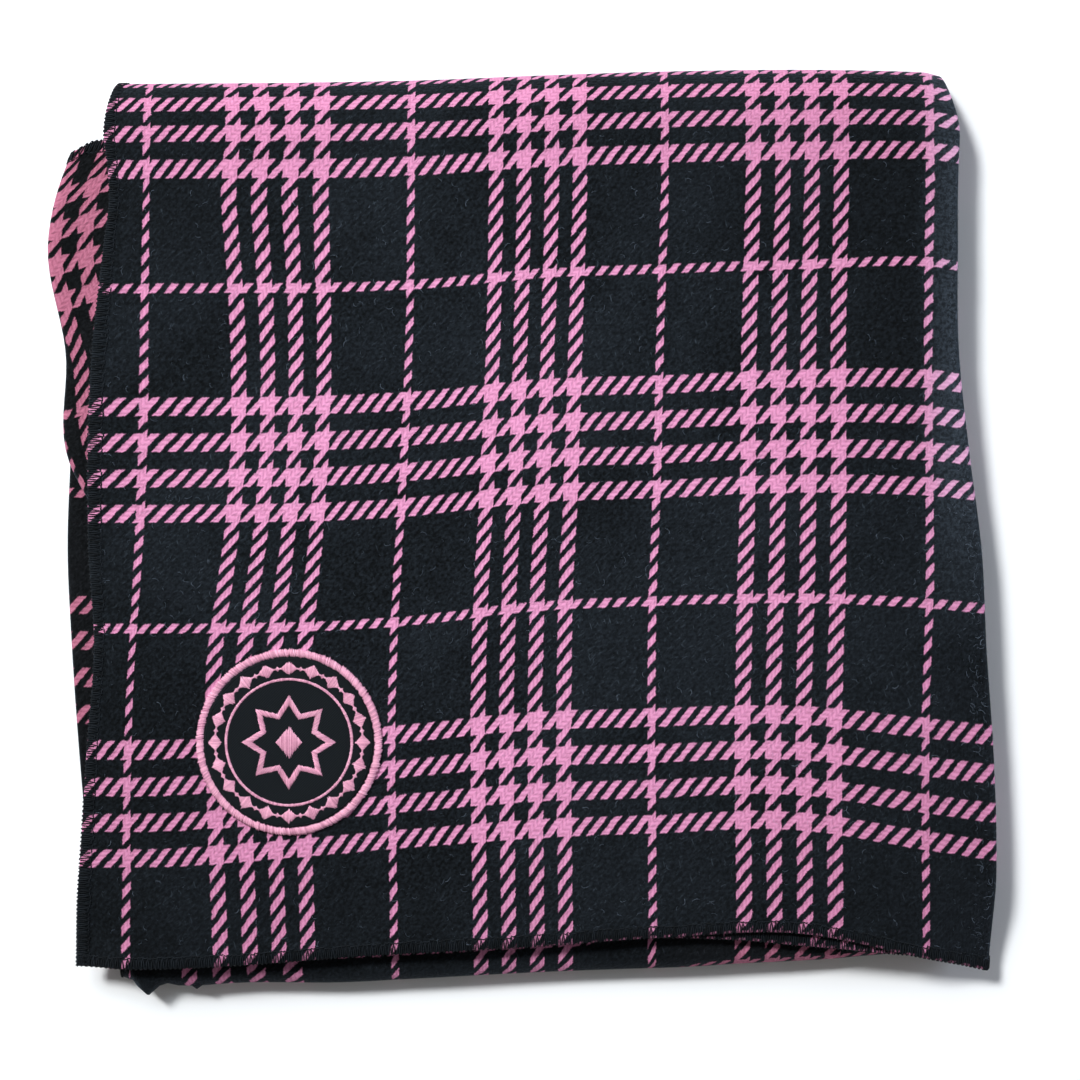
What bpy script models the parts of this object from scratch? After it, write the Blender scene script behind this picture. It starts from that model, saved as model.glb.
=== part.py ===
"""Folded plaid horse sheet with an embroidered round patch.

One large overlocked cloth is folded in thirds from side to side, and the strip that this makes is folded in
thirds from top to bottom. The stack lies flat on the XY plane, with +Z up through its thickness and +Y towards
its top fold. The origin is the centre of the underside.

Across the strip, every leaf has the same section: the top ply with its cut edge at the left, the wide right-hand
fold, the broad ply, the tight left-hand fold, and the tucked ply whose cut edge lies inside the right-hand fold.
The centre leaf lies on the ground with that section upside down. The inner leaf is folded up over it from the
bottom fold, and the front leaf is folded down over both from the top fold.
"""

import math

import bmesh
import bpy
from mathutils import Vector

# Cloth and clearances
PLY = 0.0025
GAP = 0.0003
OVERLOCK_WIDTH = 0.0055

# Outline of the folded stack
HALF_WIDTH = 0.2160
HALF_LENGTH = 0.2105
SIDE_EDGE_INSET = 0.0150
HEM_INSET = 0.0140
TUCKED_EDGE_INSET = 0.0055
INNER_HEM_INSET = 0.0030

# Round patch, on the lower left of the front leaf
PATCH_CENTRE = Vector((-0.1090, -0.0990))
PATCH_RADIUS = 0.0425
BORDER_WIDTH = 0.0030
BORDER_HEIGHT = 0.0018
GROUND_HEIGHT = 0.0010
SEWING_RADIUS = 0.0382
SEWING_WIDTH = 0.0005
RING_RADIUS = 0.0295
RING_WIDTH = 0.0013
THREAD_HEIGHT = 0.0006
CHAIN_RADIUS = 0.0340
CHAIN_DIAMONDS = 20
CHAIN_THREAD_HALF = 0.00035
LARGE_DIAMOND = (0.0029, 0.0021)
SMALL_DIAMOND = (0.0011, 0.0011)
STAR_POINTS = 8
STAR_OUTER = (0.0215, 0.0140)
STAR_INNER = (0.0172, 0.0114)
CENTRE_DIAMOND = 0.0062

# Facets
FOLD_STEPS = 12
SIDE_FOLD_STEPS = 8
ROUND_SIDES = 64

# Heights that follow from the folding
LEAF = 3 * PLY + 2 * GAP
CENTRE_LEAF_Z = 0.0
INNER_LEAF_Z = LEAF + GAP
FRONT_LEAF_Z = 2 * (LEAF + GAP)
FRONT_TOP_Z = FRONT_LEAF_Z + LEAF
PATCH_Z = FRONT_TOP_Z + GAP
THREAD_Z = PATCH_Z + GROUND_HEIGHT + GAP

# Where the straight leaves meet the two long folds
TOP_FOLD_RADIUS = FRONT_TOP_Z / 2
TOP_FOLD_Y = HALF_LENGTH - TOP_FOLD_RADIUS
BOTTOM_FOLD_RADIUS = (INNER_LEAF_Z + LEAF) / 2
BOTTOM_FOLD_Y = -HALF_LENGTH + BOTTOM_FOLD_RADIUS
HIGH_END_Y = TOP_FOLD_Y - GAP
LOW_END_Y = BOTTOM_FOLD_Y + GAP
FRONT_HEM_Y = -HALF_LENGTH + HEM_INSET + OVERLOCK_WIDTH + GAP
INNER_HEM_Y = TOP_FOLD_Y - INNER_HEM_INSET - OVERLOCK_WIDTH - GAP

# The front leaf turns back about this line, half as high as the stack, so that it lands flat on the ground
TURN_BACK_AXIS = Vector((0, TOP_FOLD_Y, (THREAD_Z + THREAD_HEIGHT) / 2))

BLACK_CLOTH = (0.020, 0.024, 0.028)
BLACK_THREAD = (0.030, 0.034, 0.042)
PATCH_BLACK = (0.012, 0.012, 0.014)
PINK_THREAD = (0.80, 0.29, 0.50)


def clear_scene():
    """Remove whatever the open scene holds."""
    for thing in list(bpy.data.objects):
        bpy.data.objects.remove(thing)


def make_material(name, colour, roughness):
    """A plain Principled material for one kind of cloth or thread."""
    material = bpy.data.materials.new(name)
    material.use_nodes = True
    shader = material.node_tree.nodes["Principled BSDF"]
    shader.inputs["Base Color"].default_value = (*colour, 1)
    shader.inputs["Roughness"].default_value = roughness
    return material


def add_node(name, bm, material, parent):
    """Finish a bmesh as a named object, without moving it from its place under its parent's axis."""
    bmesh.ops.recalc_face_normals(bm, faces=bm.faces)
    if parent.location.length:
        bmesh.ops.translate(bm, verts=bm.verts, vec=-parent.location)
    mesh = bpy.data.meshes.new(name)
    bm.to_mesh(mesh)
    bm.free()
    mesh.materials.append(material)
    mesh.shade_smooth()
    mesh.set_sharp_from_angle(angle=math.radians(35))
    node = bpy.data.objects.new(name, mesh)
    node.parent = parent
    bpy.context.scene.collection.objects.link(node)
    return node


def add_empty(name, location):
    """An empty that carries one moving group, with its origin on the group's axis."""
    empty = bpy.data.objects.new(name, None)
    empty.location = location
    bpy.context.scene.collection.objects.link(empty)
    return empty


def half_turn(centre, radius, start_angle, end_angle):
    """Points of a fold's arc in the XZ section, from one angle to the other."""
    points = []
    for step in range(SIDE_FOLD_STEPS + 1):
        angle = start_angle + (end_angle - start_angle) * step / SIDE_FOLD_STEPS
        points.append(centre + radius * Vector((math.cos(angle), math.sin(angle))))
    return points


def leaf_section():
    """The two sides of the folded cloth in XZ, as matching lists of points, from top ply to tucked ply."""
    wide_fold = Vector((HALF_WIDTH - LEAF / 2, LEAF / 2))
    tight_radius = PLY + GAP / 2
    tight_fold = Vector((-HALF_WIDTH + tight_radius, tight_radius))
    up, down = math.pi / 2, -math.pi / 2
    top_edge_x = -HALF_WIDTH + SIDE_EDGE_INSET + OVERLOCK_WIDTH + GAP
    tucked_edge_x = HALF_WIDTH - TUCKED_EDGE_INSET - OVERLOCK_WIDTH - GAP
    outer = [Vector((top_edge_x, LEAF))]
    outer += half_turn(wide_fold, LEAF / 2, up, down)
    outer += half_turn(tight_fold, tight_radius, down, -math.pi - up)
    outer += [Vector((tucked_edge_x, 2 * PLY + GAP))]
    inner = [Vector((top_edge_x, LEAF - PLY))]
    inner += half_turn(wide_fold, LEAF / 2 - PLY, up, down)
    inner += half_turn(tight_fold, GAP / 2, down, -math.pi - up)
    inner += [Vector((tucked_edge_x, PLY + GAP))]
    return outer, inner


def strip_section(left, right, low):
    """A flat edge strip in XZ, one ply thick, as two matching lists of points."""
    return (
        [Vector((left, low + PLY)), Vector((right, low + PLY))],
        [Vector((left, low)), Vector((right, low))],
    )


def top_edge_section():
    """The overlocked cut edge of the top ply."""
    left = -HALF_WIDTH + SIDE_EDGE_INSET
    return strip_section(left, left + OVERLOCK_WIDTH, 2 * (PLY + GAP))


def tucked_edge_section():
    """The overlocked cut edge of the tucked ply, inside the wide fold."""
    right = HALF_WIDTH - TUCKED_EDGE_INSET
    return strip_section(right - OVERLOCK_WIDTH, right, PLY + GAP)


def section_faces(bm, section, y, low, upside_down):
    """Lay a section into the plane at y as a strip of faces, with its lowest side at low."""
    rows = []
    for side in section:
        row = []
        for point in side:
            height = LEAF - point.y if upside_down else point.y
            row.append(bm.verts.new((point.x, y, low + height)))
        rows.append(row)
    outer, inner = rows
    faces = []
    for first in range(len(outer) - 1):
        second = first + 1
        faces.append(bm.faces.new((outer[first], outer[second], inner[second], inner[first])))
    return faces


def straight_run(section, y_from, y_to, low, upside_down=False):
    """A leaf, or a strip of its edge, run straight along Y."""
    bm = bmesh.new()
    faces = section_faces(bm, section, y_from, low, upside_down)
    grown = bmesh.ops.extrude_face_region(bm, geom=faces, use_keep_orig=True)["geom"]
    ends = [part for part in grown if isinstance(part, bmesh.types.BMVert)]
    bmesh.ops.translate(bm, verts=ends, vec=(0, y_to - y_from, 0))
    return bm


def folded_run(section, y, axis_height, turn):
    """The centre leaf's section spun half a turn about a line along X, up to the leaf that lies over it."""
    bm = bmesh.new()
    faces = section_faces(bm, section, y, CENTRE_LEAF_Z, True)
    bmesh.ops.spin(
        bm,
        geom=faces,
        cent=(0, y, axis_height),
        axis=(1, 0, 0),
        angle=turn,
        steps=FOLD_STEPS,
        use_duplicate=False,
    )
    return bm


def prism(loops, low, height):
    """An upright solid from closed outlines in XY: one outline, or an outer and an inner one for a band."""
    bm = bmesh.new()
    rings = [[bm.verts.new((point.x, point.y, low)) for point in loop] for loop in loops]
    if len(rings) == 1:
        faces = [bm.faces.new(rings[0])]
    else:
        outer, inner = rings
        faces = []
        for first in range(len(outer)):
            second = (first + 1) % len(outer)
            faces.append(bm.faces.new((outer[first], outer[second], inner[second], inner[first])))
    grown = bmesh.ops.extrude_face_region(bm, geom=faces, use_keep_orig=True)["geom"]
    tops = [part for part in grown if isinstance(part, bmesh.types.BMVert)]
    bmesh.ops.translate(bm, verts=tops, vec=(0, 0, height))
    return bm


def circle(centre, radius, sides):
    """A regular outline round a centre in XY."""
    points = []
    for side in range(sides):
        angle = 2 * math.pi * side / sides
        points.append(centre + radius * Vector((math.cos(angle), math.sin(angle))))
    return points


def star(centre, tip_radius, valley_radius):
    """A star's outline, with its first tip pointing up the cloth."""
    points = []
    for corner in range(2 * STAR_POINTS):
        radius = valley_radius if corner % 2 else tip_radius
        angle = math.pi / 2 + math.pi * corner / STAR_POINTS
        points.append(centre + radius * Vector((math.cos(angle), math.sin(angle))))
    return points


def diamond(centre, half_size):
    """A square standing on its corner."""
    corners = ((0, half_size), (half_size, 0), (0, -half_size), (-half_size, 0))
    return [centre + Vector(corner) for corner in corners]


def diamond_chain(centre, side):
    """One side of a chain of large and small diamonds on a running thread: side is 1 outside and -1 inside."""
    points = []
    for count in range(CHAIN_DIAMONDS):
        middle = math.pi / 2 + 2 * math.pi * count / CHAIN_DIAMONDS
        for half_height, half_width in (LARGE_DIAMOND, SMALL_DIAMOND):
            spread = half_width / CHAIN_RADIUS
            for angle, reach in (
                (middle - spread, CHAIN_THREAD_HALF),
                (middle, half_height),
                (middle + spread, CHAIN_THREAD_HALF),
            ):
                radius = CHAIN_RADIUS + side * reach
                points.append(centre + radius * Vector((math.cos(angle), math.sin(angle))))
            middle += math.pi / CHAIN_DIAMONDS
    return points


def border_section_ring(bm):
    """The merrowed border: a flat-bottomed, round-topped section turned round the patch's centre."""
    middle = PATCH_RADIUS - BORDER_WIDTH / 2
    section = []
    for step in range(SIDE_FOLD_STEPS + 1):
        angle = math.pi * step / SIDE_FOLD_STEPS
        reach = middle + BORDER_WIDTH / 2 * math.cos(angle)
        height = PATCH_Z + BORDER_HEIGHT * (0.35 + 0.65 * math.sin(angle))
        section.append((reach, height))
    section.insert(0, (middle + BORDER_WIDTH / 2, PATCH_Z))
    section.append((middle - BORDER_WIDTH / 2, PATCH_Z))
    rings = []
    for side in range(ROUND_SIDES):
        angle = 2 * math.pi * side / ROUND_SIDES
        ring = []
        for reach, height in section:
            place = PATCH_CENTRE + reach * Vector((math.cos(angle), math.sin(angle)))
            ring.append(bm.verts.new((place.x, place.y, height)))
        rings.append(ring)
    for first in range(ROUND_SIDES):
        here, there = rings[first], rings[(first + 1) % ROUND_SIDES]
        for low in range(len(section)):
            high = (low + 1) % len(section)
            bm.faces.new((here[low], here[high], there[high], there[low]))


def fold_up(section):
    """A section folded from the centre leaf up to the front leaf, at the top of the stack."""
    return folded_run(section, TOP_FOLD_Y, TOP_FOLD_RADIUS, math.pi)


def fold_over(section):
    """A section folded from the centre leaf up to the inner leaf, at the bottom of the stack."""
    return folded_run(section, BOTTOM_FOLD_Y, BOTTOM_FOLD_RADIUS, -math.pi)


def build_cloth(base, front, cloth):
    """The five stretches of the one folded cloth: three leaves and the two long folds that join them."""
    section = leaf_section()
    centre_leaf = straight_run(section, LOW_END_Y, HIGH_END_Y, CENTRE_LEAF_Z, True)
    inner_leaf = straight_run(section, LOW_END_Y, INNER_HEM_Y, INNER_LEAF_Z)
    front_leaf = straight_run(section, FRONT_HEM_Y, HIGH_END_Y, FRONT_LEAF_Z)
    add_node("sheet_centre_leaf", centre_leaf, cloth, base)
    add_node("sheet_inner_leaf", inner_leaf, cloth, base)
    add_node("sheet_bottom_fold", fold_over(section), cloth, base)
    add_node("sheet_top_fold", fold_up(section), cloth, base)
    add_node("sheet_front_leaf", front_leaf, cloth, front)


def build_hems(base, front, thread):
    """The overlocked hems at the two ends of the strip, which follow its whole folded section."""
    section = leaf_section()
    front_run = straight_run(section, FRONT_HEM_Y - GAP - OVERLOCK_WIDTH, FRONT_HEM_Y - GAP, FRONT_LEAF_Z)
    inner_run = straight_run(section, INNER_HEM_Y + GAP, INNER_HEM_Y + GAP + OVERLOCK_WIDTH, INNER_LEAF_Z)
    add_node("hem_overlock_front", front_run, thread, front)
    add_node("hem_overlock_inner", inner_run, thread, base)


def build_side_edges(name, section, base, front, thread):
    """One long overlocked side, in stretches that lie beside the leaves and round the two folds."""
    stretches = {
        "centre": (straight_run(section, LOW_END_Y, HIGH_END_Y, CENTRE_LEAF_Z, True), base),
        "inner": (straight_run(section, LOW_END_Y, INNER_HEM_Y, INNER_LEAF_Z), base),
        "front": (straight_run(section, FRONT_HEM_Y, HIGH_END_Y, FRONT_LEAF_Z), front),
        "bottom_fold": (fold_over(section), base),
        "top_fold": (fold_up(section), base),
    }
    for place, (bm, parent) in stretches.items():
        add_node(f"{name}_{place}", bm, thread, parent)


def build_patch(front, black, pink, sewing):
    """The round patch: twill ground, merrowed border, sewing line, and its embroidery."""
    ground = circle(PATCH_CENTRE, PATCH_RADIUS - BORDER_WIDTH - GAP, ROUND_SIDES)
    add_node("patch_ground", prism([ground], PATCH_Z, GROUND_HEIGHT), black, front)

    border = bmesh.new()
    border_section_ring(border)
    add_node("patch_border", border, pink, front)

    sewing_line = [
        circle(PATCH_CENTRE, SEWING_RADIUS + SEWING_WIDTH / 2, ROUND_SIDES),
        circle(PATCH_CENTRE, SEWING_RADIUS - SEWING_WIDTH / 2, ROUND_SIDES),
    ]
    add_node("patch_sewing_line", prism(sewing_line, THREAD_Z, THREAD_HEIGHT), sewing, front)

    ring = [
        circle(PATCH_CENTRE, RING_RADIUS, ROUND_SIDES),
        circle(PATCH_CENTRE, RING_RADIUS - RING_WIDTH, ROUND_SIDES),
    ]
    add_node("patch_ring", prism(ring, THREAD_Z, THREAD_HEIGHT), pink, front)

    chain = [diamond_chain(PATCH_CENTRE, 1), diamond_chain(PATCH_CENTRE, -1)]
    add_node("patch_diamond_chain", prism(chain, THREAD_Z, THREAD_HEIGHT), pink, front)

    star_loops = [star(PATCH_CENTRE, *STAR_OUTER), star(PATCH_CENTRE, *STAR_INNER)]
    add_node("patch_star", prism(star_loops, THREAD_Z, THREAD_HEIGHT), pink, front)
    centre = [diamond(PATCH_CENTRE, CENTRE_DIAMOND)]
    add_node("patch_centre_diamond", prism(centre, THREAD_Z, THREAD_HEIGHT), pink, front)


def build_sheet():
    """Build every node of the folded sheet."""
    clear_scene()
    cloth = make_material("sheet_cloth", BLACK_CLOTH, 0.9)
    thread = make_material("overlock_thread", BLACK_THREAD, 0.6)
    black = make_material("patch_twill", PATCH_BLACK, 0.85)
    pink = make_material("patch_thread", PINK_THREAD, 0.45)
    base = add_empty("folded_base", (0, 0, 0))
    front = add_empty("front_leaf", TURN_BACK_AXIS)
    build_cloth(base, front, cloth)
    build_hems(base, front, thread)
    build_side_edges("side_overlock", top_edge_section(), base, front, thread)
    build_side_edges("tucked_overlock", tucked_edge_section(), base, front, thread)
    build_patch(front, black, pink, thread)
    bpy.context.view_layer.update()


build_sheet()
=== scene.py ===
"""The looks of a folded plaid horse sheet: brushed twill, overlocked edges and an embroidered round patch.

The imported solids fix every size. One cloth is laid along two paths, a section across the folded strip and a
run through its three leaves, so that each stretch keeps its place on the flat cut and the check runs on
unbroken round every fold. The thread work is stitched on it afterwards, one stitch at a time.
"""

import logging
import math
from collections.abc import Callable
from dataclasses import dataclass
from enum import Enum

import bpy
import numpy as np
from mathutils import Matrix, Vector


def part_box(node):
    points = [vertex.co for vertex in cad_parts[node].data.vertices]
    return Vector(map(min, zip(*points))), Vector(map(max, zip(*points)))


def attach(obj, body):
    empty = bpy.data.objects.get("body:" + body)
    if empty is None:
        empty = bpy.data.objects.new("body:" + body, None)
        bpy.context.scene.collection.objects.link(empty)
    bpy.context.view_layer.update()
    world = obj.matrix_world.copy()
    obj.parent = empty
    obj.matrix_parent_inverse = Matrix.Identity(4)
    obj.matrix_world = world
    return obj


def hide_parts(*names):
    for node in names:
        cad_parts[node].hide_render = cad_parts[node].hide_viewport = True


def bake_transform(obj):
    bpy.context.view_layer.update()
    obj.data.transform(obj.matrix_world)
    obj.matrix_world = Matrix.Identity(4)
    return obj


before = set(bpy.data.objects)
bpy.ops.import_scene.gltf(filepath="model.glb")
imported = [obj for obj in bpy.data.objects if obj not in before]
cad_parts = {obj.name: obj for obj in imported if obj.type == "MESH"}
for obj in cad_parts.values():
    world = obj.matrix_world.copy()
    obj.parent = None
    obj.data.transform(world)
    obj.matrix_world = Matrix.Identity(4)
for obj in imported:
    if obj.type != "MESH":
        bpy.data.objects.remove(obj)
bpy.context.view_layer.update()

LOG = logging.getLogger("folded_sheet")
MM = 0.001
BASE_BODY = "folded_base"
FRONT_BODY = "front_leaf"
Colour = tuple[float, float, float]


class Ply(Enum):
    """The three plies of a leaf, counted from the cut edge that shows."""

    TOP = 0
    BROAD = 1
    TUCKED = 2


class Side(Enum):
    """The two sides of the woven cloth."""

    FACE = 0
    REVERSE = 1


# ---- Shader graphs written as expressions ----


def operator(operation: str, turned: bool = False) -> Callable[["Wire", "Wire | float"], "Wire"]:
    """Make one of Python's operators add a Math node.

    Args:
        operation: The node's operation.
        turned: Whether the wire is the second value.

    Returns:
        The method.
    """

    def join(wire: "Wire", other: "Wire | float") -> "Wire":
        """Join the wire and another value with one Math node."""
        first, second = (other, wire) if turned else (wire, other)
        return wire.graph.node("ShaderNodeMath", {"operation": operation}, {0: first, 1: second})

    return join


class Wire:
    """An output of a shader node, which Python's operators turn into Math nodes."""

    __add__, __radd__ = operator("ADD"), operator("ADD", turned=True)
    __sub__, __rsub__ = operator("SUBTRACT"), operator("SUBTRACT", turned=True)
    __mul__, __rmul__ = operator("MULTIPLY"), operator("MULTIPLY", turned=True)
    __truediv__ = operator("DIVIDE")
    wrapped, folded, most = operator("FLOORED_MODULO"), operator("PINGPONG"), operator("MAXIMUM")

    def __init__(self, graph: "Graph", output: bpy.types.NodeSocket) -> None:
        """Keep the graph and the output.

        Args:
            graph: The graph that new Math nodes go into.
            output: The node output that this wire stands for.
        """
        self.graph = graph
        self.output = output

    def size(self) -> "Wire":
        """The value without its sign."""
        return self.graph.node("ShaderNodeMath", {"operation": "ABSOLUTE"}, {0: self})

    def ramp(self, low: float, high: float) -> "Wire":
        """A smooth step from 0 at low to 1 at high.

        Args:
            low: The value at which the step starts.
            high: The value at which it is done.

        Returns:
            The step, between 0 and 1.
        """
        settings = {"interpolation_type": "SMOOTHSTEP"}
        return self.graph.node("ShaderNodeMapRange", settings, {0: self, 1: low, 2: high, 3: 0.0, 4: 1.0})

    def below(self, edge: float, softness: float) -> "Wire":
        """1 where the value is below an edge and 0 above it, with a soft change between."""
        return 1 - self.ramp(edge - softness, edge + softness)


class Graph:
    """A material's node tree with a Principled shader, and one way to add any node to it."""

    def __init__(self, name: str) -> None:
        """Start a material.

        Args:
            name: The material's name.
        """
        self.material = bpy.data.materials.new(name)
        self.material.use_nodes = True
        self.tree = self.material.node_tree
        self.shader = self.tree.nodes["Principled BSDF"]

    def node(self, kind: str, settings: dict, values: dict, out: int | str = 0) -> Wire:
        """Add a node.

        Args:
            kind: The node's type.
            settings: Its properties, which are set before its sockets.
            values: Its sockets' values or wires, by name or number.
            out: Which of its outputs to hand back.

        Returns:
            The output, as a wire.
        """
        made = self.tree.nodes.new(kind)
        for key, value in settings.items():
            setattr(made, key, value)
        for key, value in values.items():
            self.feed(made.inputs[key], value)
        return Wire(self, made.outputs[out])

    def feed(self, socket: bpy.types.NodeSocket, value: "Wire | float | Colour") -> None:
        """Give a socket a wire, a number or a colour."""
        if isinstance(value, Wire):
            self.tree.links.new(value.output, socket)
        elif isinstance(value, tuple) and socket.type == "RGBA":
            socket.default_value = (*value, 1.0)
        else:
            socket.default_value = value

    def place(self) -> Wire:
        """The place on the piece, in metres."""
        return self.node("ShaderNodeTexCoord", {}, {}, "Object")

    def split(self, place: Wire) -> tuple[Wire, Wire]:
        """The first two coordinates of a place."""
        across = self.node("ShaderNodeSeparateXYZ", {}, {0: place}, "X")
        return across, Wire(self, across.output.node.outputs["Y"])

    def flat_cut(self) -> tuple[Wire, Wire]:
        """The place on the flat cut, as shares of its width and length."""
        return self.split(self.node("ShaderNodeUVMap", {"uv_map": "flat_cut"}, {}))

    def noise(self, place: Wire, scale: float, detail: float = 2.0, roughness: float = 0.5) -> Wire:
        """Soft noise round 0.5.

        Args:
            place: The coordinates it lies on.
            scale: Its waves to the metre.
            detail: Its octaves.
            roughness: How strong the finer octaves are.

        Returns:
            The noise.
        """
        values = {"Vector": place, "Scale": scale, "Detail": detail, "Roughness": roughness}
        return self.node("ShaderNodeTexNoise", {}, values)

    def stretched(self, place: Wire, turn: float, scale: tuple[float, float, float]) -> Wire:
        """Coordinates turned about Z and stretched, for streaks."""
        values = {"Vector": place, "Rotation": (0.0, 0.0, turn), "Scale": scale}
        return self.node("ShaderNodeMapping", {"vector_type": "TEXTURE"}, values)

    def blend(self, share: Wire, first: "Wire | Colour", second: "Wire | Colour") -> Wire:
        """Mix two colours.

        Args:
            share: How much of the second colour there is.
            first: The colour at 0.
            second: The colour at 1.

        Returns:
            The mixed colour.
        """
        return self.node("ShaderNodeMix", {"data_type": "RGBA"}, {0: share, 6: first, 7: second}, 2)

    def tinted(self, share: "Wire | float", colour: Wire, tint: "Wire | Colour") -> Wire:
        """Multiply a colour by a tint, by the given share."""
        settings = {"data_type": "RGBA", "blend_type": "MULTIPLY"}
        return self.node("ShaderNodeMix", settings, {0: share, 6: colour, 7: tint}, 2)

    def finish(
        self, colour: Wire, roughness: "Wire | float", height: Wire, depth: float, **fixed: object
    ) -> None:
        """Wire up the Principled shader.

        Args:
            colour: The base colour.
            roughness: The roughness.
            height: The height of the surface's relief, from 0 to 1.
            depth: How deep that relief is, in metres.
            **fixed: Constants for other sockets, with _ for a space in their names.
        """
        self.feed(self.shader.inputs["Base Color"], colour)
        self.feed(self.shader.inputs["Roughness"], roughness)
        bump = self.node("ShaderNodeBump", {}, {"Height": height, "Distance": depth, "Strength": 1.0})
        self.feed(self.shader.inputs["Normal"], bump)
        for key, value in fixed.items():
            self.feed(self.shader.inputs[key.replace("_", " ")], value)


# ---- Finishes ----


@dataclass(frozen=True)
class PlaidTwill:
    """The brushed 2/2 twill, with its check worked out thread by thread on the flat cut."""

    warp_pitch: float = 1.69 * MM
    weft_pitch: float = 2.06 * MM
    warp_repeat: int = 72
    weft_repeat: int = 76
    stripe: int = 4
    group_half: int = 14
    thread_edge: float = 0.2
    first_warp_line: float = 20.7 * MM
    first_weft_line: float = 156.7 * MM
    black: Colour = (0.0004, 0.0007, 0.0008)
    black_lifted: Colour = (0.0088, 0.0115, 0.0148)
    nap: Colour = (0.075, 0.095, 0.120)
    pink: Colour = (0.54, 0.172, 0.31)
    pink_pale: Colour = (0.73, 0.315, 0.515)
    # Painted shade: past inside_along and away from the bottom fold, the cloth is tinted darker and redder,
    # for the lower strips that show at the left
    inside_along: float = 500.0 * MM
    painted_strip_shade_tint: Colour = (0.70, 0.59, 0.54)
    bottom_fold_along: float = 846.0 * MM
    bottom_fold_reach: tuple[float, float] = (25.0 * MM, 70.0 * MM)
    # Painted sheen: a paler, bluer band along the right fold, fading in over right_fold_rise along the cloth
    right_fold_across: float = 406.0 * MM
    right_fold_reach: tuple[float, float] = (8.0 * MM, 28.0 * MM)
    right_fold_rise: tuple[float, float] = (0.10, 0.20)
    painted_fold_sheen: Colour = (0.90, 0.72, 0.95)
    # Painted shade: colours darken away from the middle of the stack, in place of light that falls off
    # towards its edges
    painted_falloff_reach: tuple[float, float] = (90.0 * MM, 270.0 * MM)
    painted_falloff_tint: Colour = (0.82, 0.76, 0.77)
    relief_depth: float = 0.45 * MM

    def warp_line(self, number: int) -> float:
        """How far from the cut edge that shows a narrow line of the check lies."""
        return self.first_warp_line + number * self.warp_repeat * self.warp_pitch

    def coloured_threads(self, graph: Graph, count: Wire, repeat: int) -> Wire:
        """Where the threads of one direction are pink.

        Args:
            graph: The material's graph.
            count: The thread's number, counted from the middle of a narrow line.
            repeat: How many threads the check repeats after.

        Returns:
            1 on pink threads and 0 on black ones.
        """
        edge = self.thread_edge
        from_group = count.wrapped(repeat) - repeat / 2
        stripes = (from_group + (self.group_half - self.stripe / 2)).folded(self.stripe)
        in_stripe = stripes.below(self.stripe / 2, edge)
        in_group = from_group.size().below(self.group_half + edge, edge)
        on_line = from_group.size().ramp(repeat / 2 - 1 - edge, repeat / 2 - 1 + edge)
        return (in_stripe * in_group).most(on_line)

    def material(self, side: Side, width: float, length: float) -> bpy.types.Material:
        """Make the cloth's material.

        Args:
            side: The face, or the reverse, on which the other threads float.
            width: The flat cut's width.
            length: The flat cut's length.

        Returns:
            The material.
        """
        graph = Graph(f"brushed_twill_{side.name.lower()}")
        place = graph.place()
        across, along = graph.flat_cut()
        stray = graph.noise(place, 900.0, 2.0) - 0.5
        sway = graph.noise(place, 260.0, 1.0) - 0.5
        warp = across * (width / self.warp_pitch) - self.first_warp_line / self.warp_pitch
        weft = along * (length / self.weft_pitch) - self.first_weft_line / self.weft_pitch
        fuzz = graph.noise(place, 2400.0, 1.0) - 0.5
        warp = warp + stray * 0.55 + sway * 0.5 + fuzz * 0.45
        weft = weft + stray * 0.45 - sway * 0.4 - fuzz * 0.35

        warp_up = (warp - weft - 1).folded(2).below(1.0, self.thread_edge)
        if side is Side.REVERSE:
            warp_up = 1 - warp_up
        warp_pink = self.coloured_threads(graph, warp, self.warp_repeat)
        weft_pink = self.coloured_threads(graph, weft, self.weft_repeat)
        pink = warp_pink * warp_up + weft_pink * (1 - warp_up)

        warp_yarn = 1 - (warp.folded(0.5) - 0.5).size() * 2
        weft_yarn = 1 - (weft.folded(0.5) - 0.5).size() * 2
        yarn = warp_up * (1 - warp_yarn) + (1 - warp_up) * (1 - weft_yarn)
        # The diagonal ribs raise the relief and lift the blacks a little below, a painted highlight along
        # each rib
        rib = (warp - weft - 1).folded(1.0)

        hairs = graph.noise(graph.stretched(place, -0.75, (1.0, 4.5, 1.0)), 1100.0, 3.0, 0.65)
        crossed = graph.noise(graph.stretched(place, 0.5, (4.0, 1.0, 1.0)), 1000.0, 3.0, 0.65)
        nap = hairs.ramp(0.56, 0.74).most(crossed.ramp(0.58, 0.76))
        lint = graph.noise(graph.stretched(place, 0.3, (1.0, 7.0, 1.0)), 900.0, 2.0, 0.6).ramp(0.68, 0.76)
        cloudy = graph.noise(place, 16.0, 3.0, 0.6).ramp(0.35, 0.68)
        grain = graph.noise(place, 600.0, 4.0, 0.75).ramp(0.38, 0.66)

        # Painted shade: outer grows away from the middle of the stack; it darkens the pinks and dims the
        # blacks' grain and nap, in place of the light's falloff
        from_middle = graph.node("ShaderNodeVectorMath", {"operation": "LENGTH"}, {0: place}, "Value")
        outer = from_middle.ramp(*self.painted_falloff_reach)
        # Painted sheen: near the right fold the blacks are lifted towards the nap's colour and the pinks made
        # paler and bluer, a painted highlight of light grazing the fold
        near, far = (reach / width for reach in self.right_fold_reach)
        at_fold = 1 - (across - self.right_fold_across / width).size().ramp(near, far)
        at_fold = at_fold * along.ramp(*self.right_fold_rise)

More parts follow.
